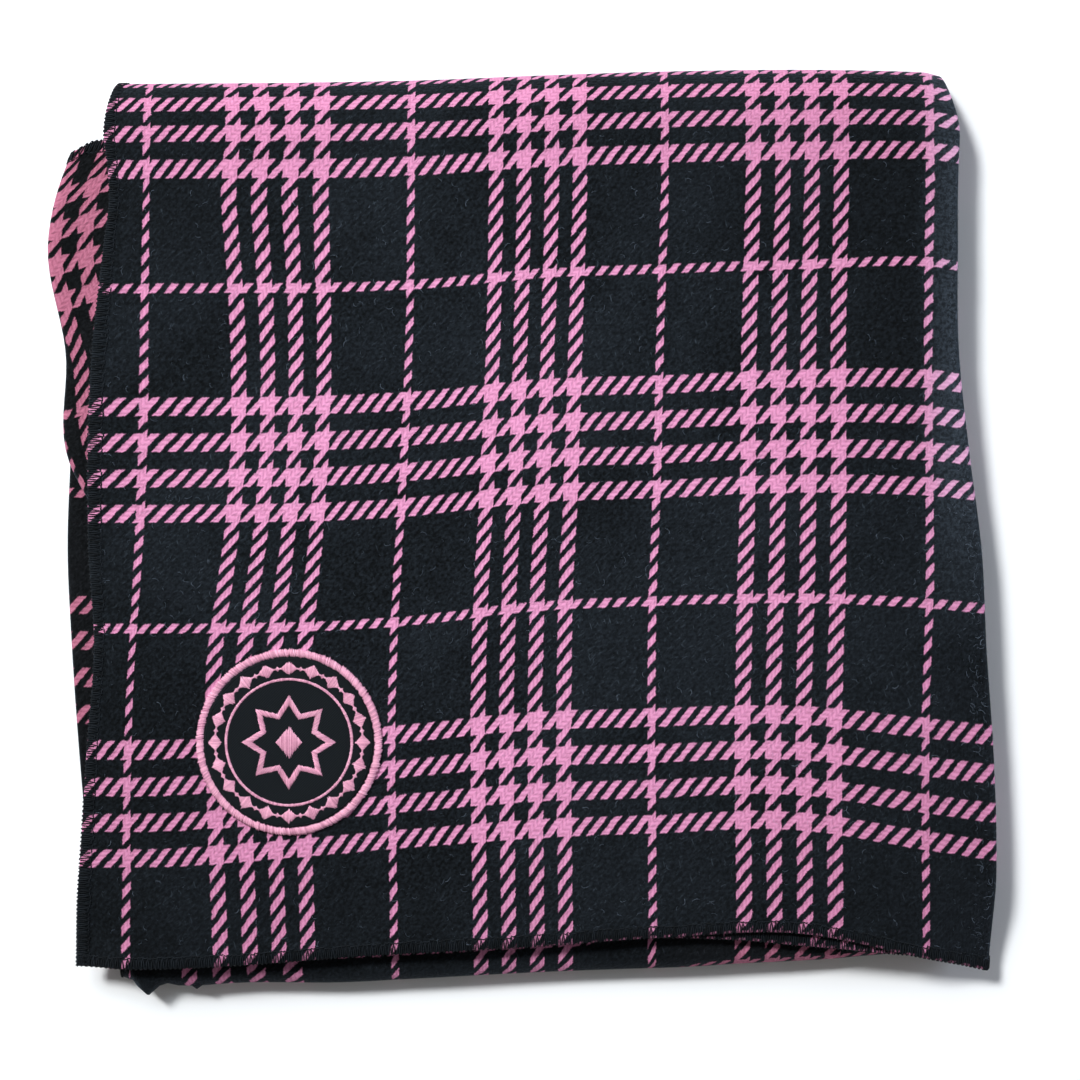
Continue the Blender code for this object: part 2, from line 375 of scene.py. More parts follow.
        lifted = (grain * 0.85 + cloudy * 0.35 + rib * 0.2 - 0.05) * (1 - 0.4 * outer)
        dark = graph.blend(lifted, self.black, self.black_lifted)
        raised = nap * (0.09 + 0.16 * cloudy) + lint * (0.12 + 0.3 * cloudy)
        dark = graph.blend(raised * (1.1 - 0.5 * outer) + at_fold * (0.1 + 0.3 * grain), dark, self.nap)

        # Painted highlight on the yarns' crowns and painted shade between the yarns; the streaks from the
        # hairs are the nap's own colour
        bright = graph.blend(yarn * 0.3 + hairs * 0.45 + crossed * 0.35, self.pink, self.pink_pale)
        shade = (0.72 + 0.28 * yarn.ramp(0.0, 0.6)) * (0.62 + 0.38 * hairs.ramp(0.30, 0.52))
        bright = graph.tinted(outer, graph.tinted(0.55, bright, shade), self.painted_falloff_tint)
        bright = graph.blend(at_fold * 0.22, bright, self.painted_fold_sheen)

        # Painted shade: darker and redder past inside_along, except near the bottom fold
        inside = self.inside_along / length
        near, far = (reach / length for reach in self.bottom_fold_reach)
        painted_strip_shade = along.ramp(inside, inside + 0.04 / length)
        painted_strip_shade = painted_strip_shade * (along - self.bottom_fold_along / length).size().ramp(near, far)
        graph.finish(
            graph.tinted(painted_strip_shade, graph.blend(pink, dark, bright), self.painted_strip_shade_tint),
            0.92 - 0.1 * pink,
            yarn * 0.3 + rib * 0.25 + hairs * 0.7 + crossed * 0.4 + stray * 0.3,
            self.relief_depth,
            Specular_IOR_Level=0.08,
            Sheen_Weight=0.085,
            Sheen_Roughness=0.45,
            Sheen_Tint=(0.62, 0.78, 1.0),
        )
        return graph.material


PLAID = PlaidTwill()


@dataclass(frozen=True)
class SpunThread:
    """Sewing or embroidery thread: a twisted strand with its own gloss."""

    name: str
    dark: Colour
    light: Colour
    roughness: float
    gloss: float = 0.45
    twist_scale: float = 2600.0

    def material(self) -> bpy.types.Material:
        """Make the thread's material."""
        graph = Graph(self.name)
        place = graph.place()
        twist = graph.noise(graph.stretched(place, 0.7, (1.0, 2.8, 1.0)), self.twist_scale, 2.0)
        tone = graph.noise(place, 140.0, 2.0)
        own = graph.node("ShaderNodeAttribute", {"attribute_name": "stitch_tone"}, {}, "Fac")
        share = twist.ramp(0.3, 0.75) * 0.25 + tone.ramp(0.3, 0.7) * 0.15 + own * 0.6
        graph.finish(
            graph.blend(share, self.dark, self.light),
            self.roughness + 0.15 * twist,
            twist,
            0.08 * MM,
            Specular_IOR_Level=self.gloss,
        )
        return graph.material


@dataclass(frozen=True)
class PatchTwill:
    """The patch's close black twill ground."""

    rib_pitch: float = 0.62 * MM
    dark: Colour = (0.0010, 0.0014, 0.0017)
    light: Colour = (0.0085, 0.0115, 0.0145)
    fluff: Colour = (0.22, 0.22, 0.24)

    def material(self) -> bpy.types.Material:
        """Make the ground's material."""
        graph = Graph("patch_twill_ground")
        place = graph.place()
        across, along = graph.split(place)
        rib = ((across - along) / self.rib_pitch).folded(1.0)
        thread = ((across + along) / (0.45 * self.rib_pitch)).folded(1.0)
        fluff = graph.noise(graph.stretched(place, 0.4, (1.0, 0.2, 1.0)), 700.0, 3.0, 0.7).ramp(0.73, 0.82)
        tone = graph.blend(rib * 0.7 + thread * 0.3, self.dark, self.light)
        graph.finish(
            graph.blend(fluff * 0.35, tone, self.fluff),
            0.86 - 0.1 * rib,
            rib * 0.7 + thread * 0.3,
            0.16 * MM,
            Specular_IOR_Level=0.10,
            Sheen_Weight=0.02,
        )
        return graph.material


# ---- Shared modelling steps ----


def soft_curve(stations: np.ndarray, values: np.ndarray, at: np.ndarray) -> np.ndarray:
    """Read a smooth curve that passes through given points.

    Args:
        stations: The points' places, rising.
        values: The curve's value at each, or one column of values for each place in at.
        at: Where to read it.

    Returns:
        The curve's values.
    """
    stations = np.asarray(stations, float)
    values = np.asarray(values, float)
    slopes = np.gradient(values, stations, axis=0)
    at = np.clip(at, stations[0], stations[-1])
    low = np.clip(np.searchsorted(stations, at) - 1, 0, len(stations) - 2)
    span = stations[low + 1] - stations[low]
    q = (at - stations[low]) / span
    here = (low,) if values.ndim == 1 else (low, np.arange(len(at)))
    there = (low + 1,) if values.ndim == 1 else (low + 1, np.arange(len(at)))
    rise = 3 * q**2 - 2 * q**3
    curve = values[here] * (1 - rise) + values[there] * rise
    return curve + span * (slopes[here] * (q**3 - 2 * q**2 + q) + slopes[there] * (q**3 - q**2))


def eased(value: np.ndarray, low: float, high: float) -> np.ndarray:
    """A smooth step from 0 at low to 1 at high."""
    q = np.clip((value - low) / (high - low), 0.0, 1.0)
    return q * q * (3 - 2 * q)


@dataclass(frozen=True)
class Zone:
    """A stretch over which something changes smoothly, in metres unless it is said otherwise."""

    low: float
    high: float

    def rise(self, at: np.ndarray) -> np.ndarray:
        """0 before the stretch and 1 after it."""
        return eased(at, self.low, self.high)

    def fall(self, at: np.ndarray) -> np.ndarray:
        """1 before the stretch and 0 after it."""
        return 1 - eased(at, self.low, self.high)


def deselect() -> None:
    """Leave nothing selected, as an operator acts on all that is."""
    for thing in bpy.context.selected_objects:
        thing.select_set(False)


def take(piece: bpy.types.Object) -> None:
    """Select one piece and make it the active one."""
    deselect()
    piece.select_set(True)
    bpy.context.view_layer.objects.active = piece


def named(name: str) -> bpy.types.Object:
    """Name the piece that an operator has just made."""
    piece = bpy.context.active_object
    piece.name = name
    piece.data.name = name
    return piece


def points_of(piece: bpy.types.Object) -> np.ndarray:
    """The piece's vertices, one row each."""
    flat = np.zeros(len(piece.data.vertices) * 3)
    piece.data.vertices.foreach_get("co", flat)
    return flat.reshape(-1, 3)


def set_points(piece: bpy.types.Object, points: np.ndarray) -> None:
    """Move the piece's vertices."""
    piece.data.vertices.foreach_set("co", np.ascontiguousarray(points, np.float32).ravel())
    piece.data.update()


def wear(piece: bpy.types.Object, *materials: bpy.types.Material) -> None:
    """Give the piece its materials, and smooth shading."""
    piece.data.materials.clear()
    for material in materials:
        piece.data.materials.append(material)
    piece.data.shade_smooth()


def apply_all(piece: bpy.types.Object) -> None:
    """Apply the piece's modifiers in order."""
    take(piece)
    for modifier in list(piece.modifiers):
        bpy.ops.object.modifier_apply(modifier=modifier.name)


def declare(piece: bpy.types.Object) -> None:
    """Log a finished piece's name and its number of faces."""
    LOG.info("%s: %d faces", piece.name, len(piece.data.polygons))


# ---- The folded cloth ----


@dataclass
class Run:
    """A path with the distance along it, read at any distance."""

    distance: np.ndarray
    columns: np.ndarray

    @classmethod
    def along(cls, points: list[tuple[float, ...]]) -> "Run":
        """Measure a path.

        Args:
            points: Its points: two coordinates each, then whatever else changes along it.

        Returns:
            The measured path.
        """
        table = np.array(points, float)
        steps = np.linalg.norm(np.diff(table[:, :2], axis=0), axis=1)
        return cls(np.concatenate([[0.0], np.cumsum(steps)]), table)

    def read(self, at: np.ndarray) -> list[np.ndarray]:
        """Every column of the path, at the given distances."""
        return [np.interp(at, self.distance, column) for column in self.columns.T]


@dataclass(frozen=True)
class CheckEasing:
    """The broad ply under each leaf is stretched, the centre leaf slips, and the two strips that show at the
    left have a slip and a skew of their own.
    """

    hidden_stretch: float = 45.0 * MM
    hidden_slip: float = 31.3 * MM
    top_fold_at: tuple[float, ...] = (0.0, 17.0 * MM, 33.0 * MM)
    top_fold_slip: tuple[float, ...] = (0.0, -2.6 * MM, -4.8 * MM)
    right_fold_end: float = 130.0 * MM
    hem_skew: float = 1.3 * MM
    hem_skew_left: float = 1.9 * MM
    hem_skew_across: Zone = Zone(0.15, 0.27)
    hem_skew_along: Zone = Zone(0.0, 0.06)
    base_skew: float = 36.8 * MM
    base_skew_across: Zone = Zone(0.23, 0.29)
    base_skew_end: float = 300.0 * MM
    strip_start: Zone = Zone(0.50, 0.59)
    strip_end: Zone = Zone(0.745, 0.825)
    strip_slip: float = -19.6 * MM
    strip_slip_start: float = 70.0 * MM
    strip_ease: float = 22.0 * MM
    strip_ease_start: float = 120.0 * MM
    strip_full: float = 35.0 * MM
    inner_reach: float = 120.0 * MM
    inner_skew: tuple[float, float] = (1.0 * MM, 6.5 * MM)
    inner_skew_width: float = 20.0 * MM
    inner_from_hem: tuple[float, ...] = (-170.0 * MM, -132.0 * MM, -86.0 * MM, -33.0 * MM)
    inner_ease: tuple[float, ...] = (13.5 * MM, 10.0 * MM, 3.5 * MM, 1.4 * MM)


EASING = CheckEasing()


@dataclass
class FoldedCloth:
    """The one cloth of the sheet, folded in thirds both ways, with the way it lies in use."""

    half_width: float
    cut_edge_x: float
    tucked_edge_x: float
    leaf: float
    ply: float
    pile: float
    top_fold_y: float
    bottom_fold_y: float
    hem_y: float
    inner_hem_y: float
    inner_height: float
    fold_reach: float = 28.0 * MM
    fold_belly: float = 8.6 * MM
    arc_steps: int = 24

    # How the sheet was laid down, in millimetres: the outline of each leaf at stations up the stack
    stations: tuple[float, ...] = (-205, -160, -105, -55, -10, 35, 80, 134, 150, 172, 182, 211)
    front_cut_edge: tuple[float, ...] = (
        -209, -206, -202.5, -199, -201.5, -202, -200, -194, -192, -193.5, -195, -195.5,
    )
    inner_left_fold: tuple[float, ...] = (
        -195, -190, -190, -190, -193, -215, -215.2, -223.6, -221, -213.5, -209, -204,
    )
    centre_left_fold: tuple[float, ...] = (
        -200, -205, -210, -213.5, -215.5, -214, -212, -208, -200, -191.5, -191.5, -191.5,
    )
    right_fold: tuple[float, ...] = (216, 218.3, 217, 213.3, 211, 205, 200, 199.3, 199.3, 200, 200.5, 194)

    # How the check wanders, in millimetres: sideways at its narrow lines, and up and down at its crossings
    line_stations: tuple[float, ...] = (-190, -75, -30, 17, 86, 155)
    line_drift: tuple[tuple[float, ...], ...] = (
        (-4.0, -2.0, 0.9, 3.2, 4.6, 5.5),
        (-2.2, -3.0, -1.2, 1.6, 4.8, 5.7),
        (-4.7, -5.4, -4.8, -3.0, -1.5, 0.8),
        (-0.3, -0.6, 1.0, 1.0, 0.0, 1.0),
    )
    row_stations: tuple[float, ...] = (-205, -118, -40, 38, 117, 211)
    column_stations: tuple[float, ...] = (-216, -175, -53, 6, 64, 126, 186, 216)
    row_drift: tuple[tuple[float, ...], ...] = (
        (-6.8, -6.8, 0.2, 3.2, 7.5, 10.0, -3.0, -10.5),
        (-10.0, -10.0, -1.0, 4.0, 5.7, 7.0, -1.0, -5.5),
        (-7.0, -7.0, -3.5, 3.0, 5.7, 7.0, 4.5, 2.0),
        (-8.0, -8.0, -4.7, 1.0, 2.8, 5.7, 4.7, 2.6),
        (-7.0, -7.0, -5.0, 0.0, 2.0, 4.0, 5.4, 3.6),
        (-4.6, -4.6, -3.0, -0.8, 1.0, 1.8, 0.6, -1.0),
    )

    # How far edges and folds stand off the ones above them, in millimetres
    left_fold_inset: float = 3.0
    right_fold_inset: float = 1.5
    lower_edge_inset: float = 7.0
    least_lap: float = 11.0
    lower_hem_stations: tuple[float, ...] = (60, 82, 104, 125, 154, 180)
    lower_hem_drift: tuple[float, ...] = (0, -2, -4.5, -6.5, -4.4, 0)
    bottom_fold_stations: tuple[float, ...] = (
        -216, -181, -175, -166, -157, -145, -120, -81, -53, 6, 64, 94, 126, 142, 159, 186, 216,
    )
    bottom_fold_drift: tuple[float, ...] = (
        8, 5.5, 4.6, -2.0, 3.0, 1.6, 1.6, -1.0, -1.2, -1.2, -3.4, -4.2, -2.6, 0.6, 6, 15, 21,
    )
    inner_short: float = 4.0
    inner_short_left: float = 6.0
    inner_rounding: float = 11.0

    # Where the stack is pressed or droops, as shares of its height, and its slow waves: the height of each in
    # millimetres, and the pace across, the pace along and the phase of its two sines
    side_press: float = 0.07
    front_press: float = 0.05
    right_press: float = 0.10
    left_droop: float = 0.42
    right_droop: float = 0.38
    waves: tuple[tuple[float, tuple[float, ...], tuple[float, ...]], ...] = (
        (0.55, (31.0, 12.0, 0.6), (-9.0, 23.0, 1.1)),
        (0.35, (52.0, -37.0, 2.0), (0.0, 0.0, math.pi / 2)),
        (0.20, (83.0, 71.0, 0.0), (0.0, 0.0, math.pi / 2)),
        (0.16, (171.0, -64.0, 0.4), (38.0, 143.0, 0.0)),
    )

    @classmethod
    def from_frame(cls) -> "FoldedCloth":
        """Read the cloth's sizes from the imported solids."""
        front_low, front_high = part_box("sheet_front_leaf")
        side_low, side_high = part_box("side_overlock_front")
        return cls(
            half_width=front_high.x,
            cut_edge_x=side_low.x,
            tucked_edge_x=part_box("tucked_overlock_front")[1].x,
            leaf=front_high.z - front_low.z,
            ply=side_high.z - side_low.z,
            pile=front_high.z,
            top_fold_y=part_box("sheet_top_fold")[0].y,
            bottom_fold_y=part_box("sheet_bottom_fold")[1].y,
            hem_y=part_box("hem_overlock_front")[0].y,
            inner_hem_y=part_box("hem_overlock_inner")[1].y,
            inner_height=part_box("sheet_inner_leaf")[1].z,
        )

    def __post_init__(self) -> None:
        """Work out the two paths that the cloth follows."""
        self.section = Run.along(self._section_points())
        self.leaves = Run.along(self._leaf_points())
        self.width = self.section.distance[-1]
        self.length = self.leaves.distance[-1]

    def _section_points(self) -> list[tuple[float, ...]]:
        """The section: place across, depth below the outer side, and how far it belongs to each ply."""
        outer, tight = (self.leaf - self.ply) / 2, (self.ply + self.leaf / 2 - 1.5 * self.ply) / 2
        wide_x, tight_x = self.half_width - self.leaf / 2, -self.half_width + tight + self.ply / 2
        points = [(self.cut_edge_x, self.ply / 2, Ply.TOP.value)]
        for step in range(self.arc_steps + 1):
            turn = math.pi * step / self.arc_steps
            ply = step / self.arc_steps
            points.append((wide_x + outer * math.sin(turn), self.leaf / 2 - outer * math.cos(turn), ply))
        middle = self.leaf - self.ply / 2 - tight
        for step in range(self.arc_steps + 1):
            turn = math.pi * step / self.arc_steps
            ply = 1 + step / self.arc_steps
            points.append((tight_x - tight * math.sin(turn), middle + tight * math.cos(turn), ply))
        points.append((self.tucked_edge_x, middle - tight, Ply.TUCKED.value))
        return points

    def _leaf_points(self) -> list[tuple[float, ...]]:
        """The run through the leaves: place along, height, the way into the stack, and the leaf's number."""
        low = self.inner_height / 2
        points = [(self.hem_y, self.pile, 0.0, -1.0, 0.0)]
        extreme = self.top_fold_y + self.pile / 2 + 1.6 * MM
        for step in range(self.arc_steps + 1):
            turn = math.pi * step / self.arc_steps
            sine, cosine, leaf = math.sin(turn), math.cos(turn), step / self.arc_steps
            rise = self.pile - self.fold_belly if cosine > 0 else self.fold_belly
            y = extreme - self.fold_reach * (1 - sine)
            points.append((y, self.fold_belly + rise * cosine, -sine, -cosine, leaf))
        for step in range(self.arc_steps + 1):
            turn = math.pi * step / self.arc_steps
            sine, cosine, leaf = math.sin(turn), math.cos(turn), 1 + step / self.arc_steps
            points.append((self.bottom_fold_y - low * sine, low - low * cosine, sine, cosine, leaf))
        points.append((self.inner_hem_y, self.inner_height, 0.0, -1.0, 2.0))
        return points

    @property
    def front_length(self) -> float:
        """How much of the cloth's length the front leaf and the top fold take."""
        return float(self.leaves.distance[1 + self.arc_steps])

    def lay(self, across: np.ndarray, along: np.ndarray) -> np.ndarray:
        """Find where places on the cloth lie.

        Args:
            across: Distances across the cloth, from the cut edge that shows.
            along: Distances along it, from the front hem.

        Returns:
            One row of coordinates for each.
        """
        x, depth, ply = self.section.read(across)
        y, z, inward_y, inward_z, leaf = self.leaves.read(along)
        y, z = y + inward_y * depth, z + inward_z * depth
        y = y + self._settled_y(x, y, ply, leaf)
        z = z * (1 - self.right_press * eased(x, 0.180, self.half_width))
        x = self._settled_x(x, y, ply, leaf)
        return np.stack([x, y, self.settled_height(x, y, z, leaf)], axis=1)

    def _settled_x(self, x: np.ndarray, y: np.ndarray, ply: np.ndarray, leaf: np.ndarray) -> np.ndarray:
        """Bring each ply to the outline that it lies in.

        Args:
            x: Places across, as if the stack lay square.
            y: Places along.
            ply: How far each belongs to each ply of its leaf.
            leaf: Which leaf each belongs to.

        Returns:
            The places across as they lie.
        """
        at = y / MM
        lines = [self.cut_edge_x + PLAID.warp_line(number) for number in range(len(self.line_drift))]
        drifts = [MM * soft_curve(self.line_stations, drift, at) for drift in self.line_drift]
        drifted = [line + drift for line, drift in zip(lines, drifts)]
        cut_edge, middle_fold, inner_fold, right_fold = (
            soft_curve(self.stations, outline, at)
            for outline in (self.front_cut_edge, self.centre_left_fold, self.inner_left_fold, self.right_fold)
        )
        under, inner = np.clip(leaf, 0, 1), eased(leaf, 1.0, 2.0)
        right = MM * (right_fold - self.right_fold_inset * under)
        lower_fold = middle_fold * (1 - inner) + inner_fold * inner
        fold = MM * ((cut_edge + self.left_fold_inset) * (1 - under) + under * lower_fold)
        edge = MM * (cut_edge + under * self.lower_edge_inset)
        edge = np.maximum(edge, fold + (self.least_lap * under - self.left_fold_inset) * MM)

        top_x = soft_curve([self.cut_edge_x, *lines, self.half_width], np.stack([edge, *drifted, right]), x)
        low_knots = [-self.half_width, *lines[1:], self.half_width]
        low_x = soft_curve(low_knots, np.stack([fold, *drifted[1:], right]), x)
        share = eased(ply, 0.25, 0.75)
        to_line = np.clip((x - lines[2]) / (lines[3] - lines[2]), 0.0, 1.0)
        to_right = np.clip((x - lines[3]) / (self.half_width - lines[3]), 0.0, 1.0)
        evenly = drifted[2] + (drifted[3] - drifted[2]) * to_line + (right - drifted[3]) * to_right
        return np.where(x > lines[2], evenly, top_x * (1 - share) + low_x * share)

    def _settled_y(self, x: np.ndarray, y: np.ndarray, ply: np.ndarray, leaf: np.ndarray) -> np.ndarray:
        """Shift along the stack: the check's slow wander, and hems and folds that don't quite line up."""
        columns = np.stack([soft_curve(self.column_stations, row, x / MM) for row in self.row_drift])
        shift = soft_curve(self.row_stations, columns, y / MM)
        near_bottom = Zone(-0.21, -0.13).fall(y)
        lower_hem = soft_curve(self.lower_hem_stations, self.lower_hem_drift, x / MM)
        shift += lower_hem * near_bottom * eased(ply, 0.3, 0.8) * (1 - eased(leaf, 0.0, 0.3))
        bottom_fold = soft_curve(self.bottom_fold_stations, self.bottom_fold_drift, x / MM)
        shift += bottom_fold * near_bottom * eased(leaf, 0.3, 1.0)

        short = self.inner_short + self.inner_short_left * Zone(-0.212, -0.13).fall(x)
        short = short * Zone(-0.15, 0.19).rise(y)
        rounded = self.inner_rounding * Zone(-0.221, -0.203).fall(x) ** 2 * Zone(0.15, 0.195).rise(y)
        return (shift - (short + rounded) * eased(leaf, 1.6, 2.0)) * MM

    def settled_height(self, x: np.ndarray, y: np.ndarray, z: np.ndarray, leaf: np.ndarray) -> np.ndarray:
        """Press the stack down at its sides, let its corners droop, and give it slow waves."""
        pressed = self.side_press * Zone(0.165, 0.215).rise(np.abs(x))
        pressed = pressed + self.front_press * Zone(-0.21, -0.165).fall(y)
        left_corner = Zone(-0.208, -0.180).fall(x) * Zone(-0.208, -0.165).fall(y)
        right_corner = Zone(0.172, 0.214).rise(x) * Zone(-0.204, -0.160).fall(y)
        droop = self.left_droop * left_corner + self.right_droop * right_corner
        droop = droop * (1 - eased(leaf, 0.0, 0.4)) * (self.pile - self.leaf)
        waves = 0.0
        for height, first, second in self.waves:
            sines = [np.sin(x * across + y * along + phase) for across, along, phase in (first, second)]
            waves = waves + height * sines[0] * sines[1]
        return z * (1 - pressed) - droop + waves * MM * (z / self.pile) * Zone(0.004, 0.02).rise(z)

    def _right_slack(self, along: np.ndarray) -> np.ndarray:
        """How much narrower than its flat cut the cloth lies between the check's last line and the fold."""
        at = self.leaves.read(along)[0] / MM
        drift = soft_curve(self.line_stations, self.line_drift[-1], at)
        return self.half_width + (drift - soft_curve(self.stations, self.right_fold, at)) * MM

    def flat_share(self, across: np.ndarray, along: np.ndarray) -> np.ndarray:
        """Where places on the cloth lie on the flat cut, with the check's easing.

        Args:
            across: Distances across the cloth.
            along: Distances along it.

        Returns:
            One row for each, of shares of the flat cut's width and length.
        """
        steps, section, leaves = self.arc_steps, self.section.distance, self.leaves.distance
        eased_in = np.interp(across, [section[1 + steps], section[2 + steps]], [0.0, EASING.hidden_stretch])
        at_fold = [leaves[1] + place for place in EASING.top_fold_at]
        slips = [*EASING.top_fold_slip, 0.0, EASING.hidden_slip]
        slipped = np.interp(along, [*at_fold, leaves[1 + steps], leaves[2 + steps]], slips)

        to_fold = np.interp(across, [PLAID.warp_line(len(self.line_drift) - 1), section[1]], [0.0, 1.0])
        past_fold = [section[1 + steps], section[2 + steps] - EASING.right_fold_end]
        taken_up = to_fold - np.interp(across, past_fold, [0.0, 1.0])
        eased_in = eased_in + self._right_slack(along) * taken_up

        skewed = EASING.hem_skew + EASING.hem_skew_left * EASING.hem_skew_across.fall(across)
        skewed = skewed * EASING.hem_skew_along.fall(along)
        right = EASING.base_skew_across.rise(across)
        right = right * (1 - eased(across, section[2], section[1 + steps] + EASING.base_skew_end))
        slipped = slipped + EASING.base_skew * right * eased(along, leaves[1 + steps], leaves[2 + steps])

        left_fold, turned_up = section[2 + 2 * steps], leaves[2 + 2 * steps]
        centre_strip = EASING.strip_start.rise(along) * EASING.strip_end.fall(along)
        full = left_fold - EASING.strip_full
        near_fold = eased(across, left_fold - EASING.strip_ease_start, full)
        crept = centre_strip * eased(across, left_fold - EASING.strip_slip_start, full)
        slipped = slipped + (EASING.strip_slip - slipped) * crept
        eased_in = eased_in + EASING.strip_ease * centre_strip * near_fold
        inner = eased(along, turned_up, turned_up + EASING.inner_reach)
        strip_span = [left_fold, left_fold + EASING.inner_skew_width]
        slipped = slipped + inner * np.interp(across, strip_span, EASING.inner_skew)
        turned = np.interp(along - leaves[-1], EASING.inner_from_hem, EASING.inner_ease)
        eased_in = eased_in + inner * turned * near_fold
        return np.stack([(across - eased_in) / self.width, (along - slipped + skewed) / self.length], axis=1)

    def face(self, across: np.ndarray, along: np.ndarray, lift: np.ndarray) -> np.ndarray:
        """Find places above or below the cloth's middle, and just past its edges.

        Args:
            across: Distances across the cloth.
            along: Distances along it.
            lift: Heights above the middle of its thickness, on its face side.

        Returns:
            One row of coordinates for each.
        """
        step = 0.2 * MM
        near = np.clip(across, step, self.width - step), np.clip(along, step, self.length - step)
        by_across = (self.lay(near[0] + step, near[1]) - self.lay(near[0] - step, near[1])) / (2 * step)
        by_along = (self.lay(near[0], near[1] + step) - self.lay(near[0], near[1] - step)) / (2 * step)
        normal = np.cross(by_across, by_along)
        normal /= np.linalg.norm(normal, axis=1)[:, None]
        past = by_across * (across - near[0])[:, None] + by_along * (along - near[1])[:, None]
        return self.lay(*near) + past + normal * lift[:, None]

    def top_height(self, x: np.ndarray, y: np.ndarray, thickness: float) -> np.ndarray:
        """How high the front leaf's face lies.

        Args:
            x: Places across.
            y: Places along.
            thickness: The cloth's thickness.

        Returns:
            The heights.
        """
        level = np.full(len(x), self.pile - self.ply / 2 + thickness / 2)
        return self.settled_height(x, y, level, np.zeros(len(x)))


@dataclass
class ClothPiece:
    """One stretch of the folded cloth as a mesh of its own, with both sides of the weave."""

    name: str
    cloth: FoldedCloth
    start: float
    end: float
    step: float
    section_bend_step: float = 0.9 * MM
    leaf_bend_step: float = 2.2 * MM
    thickness: float = 2.2 * MM

    def _knots(self, total: float, bends: list[tuple[float, float]], fine: float) -> np.ndarray:
        """Spread grid lines along a path, closer where it bends.

        Args:
            total: The path's length.
            bends: The stretches that bend.
            fine: The spacing on bends.

        Returns:
            The grid lines' distances.
        """
        marks, at = [], 0.0
        for low, high in bends:
            marks.append(np.linspace(at, low, max(2, round((low - at) / self.step)), endpoint=False))
            marks.append(np.linspace(low, high, max(3, round((high - low) / fine)), endpoint=False))
            at = high
        marks.append(np.linspace(at, total, max(2, round((total - at) / self.step)) + 1))
        return np.concatenate(marks)

    def build(self, face: bpy.types.Material, reverse: bpy.types.Material) -> bpy.types.Object:
        """Lay a grid along the cloth's paths and give it its thickness.

        Args:
            face: The finish of the cloth's face.
            reverse: The finish of its other side.

        Returns:
            The piece, with its place in its mesh.
        """
        cloth, arc = self.cloth, self.cloth.arc_steps
        sections, leaves = cloth.section.distance, cloth.leaves.distance
        bends = [(sections[1], sections[1 + arc]), (sections[2 + arc], sections[2 + 2 * arc])]
        across = self._knots(cloth.width, bends, self.section_bend_step)
        bends = [
            (low - self.start, high - self.start)
            for low, high in ((leaves[1], leaves[1 + arc]), (leaves[2 + arc], leaves[2 + 2 * arc]))
            if low >= self.start and high <= self.end
        ]
        along = self.start + self._knots(self.end - self.start, bends, self.leaf_bend_step)
        deselect()
        bpy.ops.mesh.primitive_grid_add(
            x_subdivisions=len(across) - 1, y_subdivisions=len(along) - 1, size=1.0, location=(0, 0, 0)
        )
        piece = named(self.name)
        grid = points_of(piece) + 0.5
        column = np.rint(grid[:, 0] * (len(across) - 1)).astype(int)
        row = np.rint(grid[:, 1] * (len(along) - 1)).astype(int)
        set_points(piece, cloth.lay(across[column], along[row]))
        self._mark_flat_cut(piece, cloth.flat_share(across[column], along[row]))
        solid = piece.modifiers.new("thickness", "SOLIDIFY")
        solid.thickness = self.thickness
        solid.offset = 0.0
        solid.material_offset = 1
        apply_all(piece)
        wear(piece, face, reverse)
        return piece

    def _mark_flat_cut(self, piece: bpy.types.Object, shares: np.ndarray) -> None:
        """Write the flat cut's coordinates to the piece's own UV map."""
        while piece.data.uv_layers:
            piece.data.uv_layers.remove(piece.data.uv_layers[0])
        layer = piece.data.uv_layers.new(name="flat_cut")
        corners = np.zeros(len(piece.data.loops), np.int32)
        piece.data.loops.foreach_get("vertex_index", corners)
        layer.uv.foreach_set("vector", shares[corners].astype(np.float32).ravel())


# ---- Thread work ----


@dataclass(frozen=True)
class Stitch:
    """One stitch, modelled once as a few lengths of thread: along the row, across it, and up."""

    lengths: tuple[tuple[tuple[float, float, float], ...], ...]
    radius: float

    def row(self, name: str, count: int, pitch: float) -> tuple[bpy.types.Object, np.ndarray]:
        """Model the stitch and repeat it along a straight row.

        Args:
            name: The row's name.
            count: How many stitches it has.
            pitch: Their spacing.

        Returns:
            The row, and the number of the stitch that each of its vertices belongs to.
        """
        deselect()
        bpy.ops.curve.primitive_nurbs_path_add(location=(0, 0, 0))
        piece = named(name)
        curve = piece.data
        curve.splines.clear()
        for length in self.lengths:
            spline = curve.splines.new("POLY")
            spline.points.add(len(length) - 1)
            for point, place in zip(spline.points, length):
                point.co = (*place, 1.0)
        curve.bevel_depth = self.radius
        curve.bevel_resolution = 0
        curve.use_fill_caps = True
        bpy.ops.object.convert(target="MESH")
        piece = bpy.context.active_object
        own = len(piece.data.vertices)
        row = piece.modifiers.new("row", "ARRAY")
        row.count = count
        row.use_relative_offset = False
        row.use_constant_offset = True
        row.constant_offset_displace = (pitch, 0.0, 0.0)
        apply_all(piece)
        number = np.arange(len(piece.data.vertices)) // own
        tones = np.random.default_rng(count).random(count)[number].astype(np.float32)
        piece.data.attributes.new("stitch_tone", "FLOAT", "POINT").data.foreach_set("value", tones)
        return piece, number


class Edge(Enum):
    """The four cut edges of the cloth."""

    SIDE = "the edge that shows at the left"
    TUCKED = "the edge inside the leaf"
    FRONT_HEM = "the end of the front leaf"
    INNER_HEM = "the end of the inner leaf"


